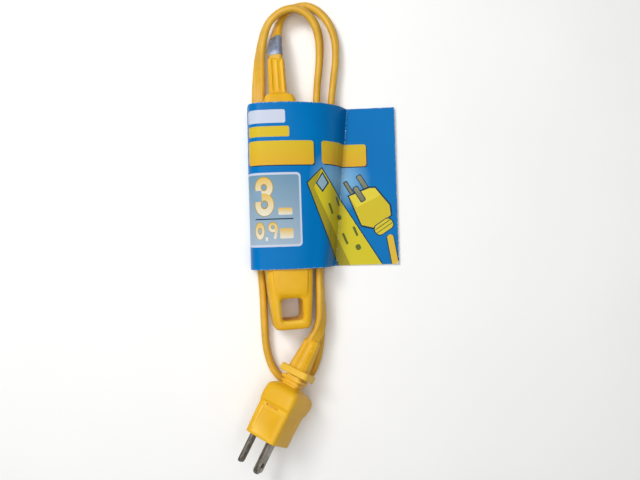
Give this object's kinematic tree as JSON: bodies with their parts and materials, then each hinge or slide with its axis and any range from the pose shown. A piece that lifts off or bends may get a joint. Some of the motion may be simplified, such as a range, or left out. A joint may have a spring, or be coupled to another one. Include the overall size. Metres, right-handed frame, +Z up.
{
  "type": "extension cord",
  "caption": "Folded flat extension cord with a multi-outlet bar, a grounded plug, a hang hole and a sliding card sleeve.",
  "frame": {"origin": "middle of the box round the outlet bar, its strain relief and the card sleeve, on the surface the object lies on", "axes": "+Z up out of the surface, +Y along the bar from its handle end to its cord, +X toward the sleeve's flap"},
  "size_m": [0.0948, 0.28, 0.0385],
  "materials": {
    "yellow_pvc": "moulded, satin",
    "cord_pvc": "extruded, satin",
    "nylon": "moulded",
    "brass": "stamped strip",
    "nickel_plate": "nickel plated",
    "foil": "printed foil",
    "printed_card": "printed and coated",
    "black_insulation": "extruded",
    "white_insulation": "extruded",
    "green_insulation": "extruded"
  },
  "bodies": {
    "root": {"outlet_body": "yellow_pvc", "outlet_strain_relief": "yellow_pvc", "contact_carrier": "nylon", "carrier_cover": "nylon", "line_contact_bar": "brass", "neutral_contact_bar": "brass", "ground_contact_bar": "brass", "outlet_line_wire": "black_insulation", "outlet_neutral_wire": "white_insulation", "outlet_ground_wire": "green_insulation", "plug_body": "yellow_pvc", "plug_strain_relief": "yellow_pvc", "blade_bridge": "yellow_pvc", "line_blade": "nickel_plate", "neutral_blade": "nickel_plate", "ground_pin": "nickel_plate", "plug_line_wire": "black_insulation", "plug_neutral_wire": "white_insulation", "plug_ground_wire": "green_insulation", "power_cord": "cord_pvc", "cord_label": "foil"},
    "sleeve": {"card_sleeve": "printed_card"}
  },
  "joints": [
    {"name": "sleeve_slide", "type": "slide", "parent": "root", "child": "sleeve", "axis": [0.0332, -0.9995, 0], "range_m": [0, 0.04]}
  ]
}
